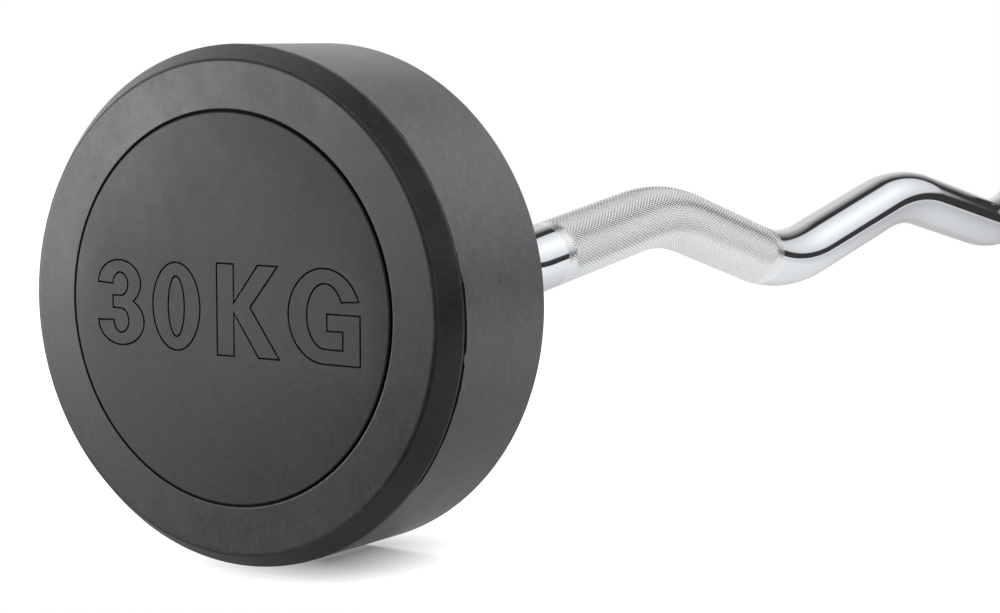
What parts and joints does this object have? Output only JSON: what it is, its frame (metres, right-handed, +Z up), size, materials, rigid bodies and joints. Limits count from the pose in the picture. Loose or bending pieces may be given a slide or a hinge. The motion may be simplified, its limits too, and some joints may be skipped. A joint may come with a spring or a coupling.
{
  "type": "ez curl bar",
  "caption": "Fixed-weight curl barbell: zigzag chromed steel bar with knurled grips, and a rubber-covered drum head keyed and bolted to each end.",
  "frame": {"origin": "on the floor under the middle of the bar, half way between the heads", "axes": "+X along the bar towards the right head, +Z up; the bar's zigzag lies in the XZ plane"},
  "size_m": [1.2182, 0.19, 0.19],
  "materials": {
    "bar_chrome": "polished",
    "drum_rubber": "matte",
    "disc_rubber": "matte",
    "core_steel": "satin",
    "fastener_steel": "satin",
    "key_steel": "satin"
  },
  "bodies": {
    "root": {"ez_bar": "bar_chrome", "left_drum_jacket": "drum_rubber", "left_front_ring": "drum_rubber", "left_end_disc": "disc_rubber", "left_head_core": "core_steel", "left_clamp_washer": "fastener_steel", "left_lock_washer": "fastener_steel", "left_retaining_bolt": "fastener_steel", "left_drive_key": "key_steel", "right_drum_jacket": "drum_rubber", "right_front_ring": "drum_rubber", "right_end_disc": "disc_rubber", "right_head_core": "core_steel", "right_clamp_washer": "fastener_steel", "right_lock_washer": "fastener_steel", "right_retaining_bolt": "fastener_steel", "right_drive_key": "key_steel"}
  },
  "joints": []
}
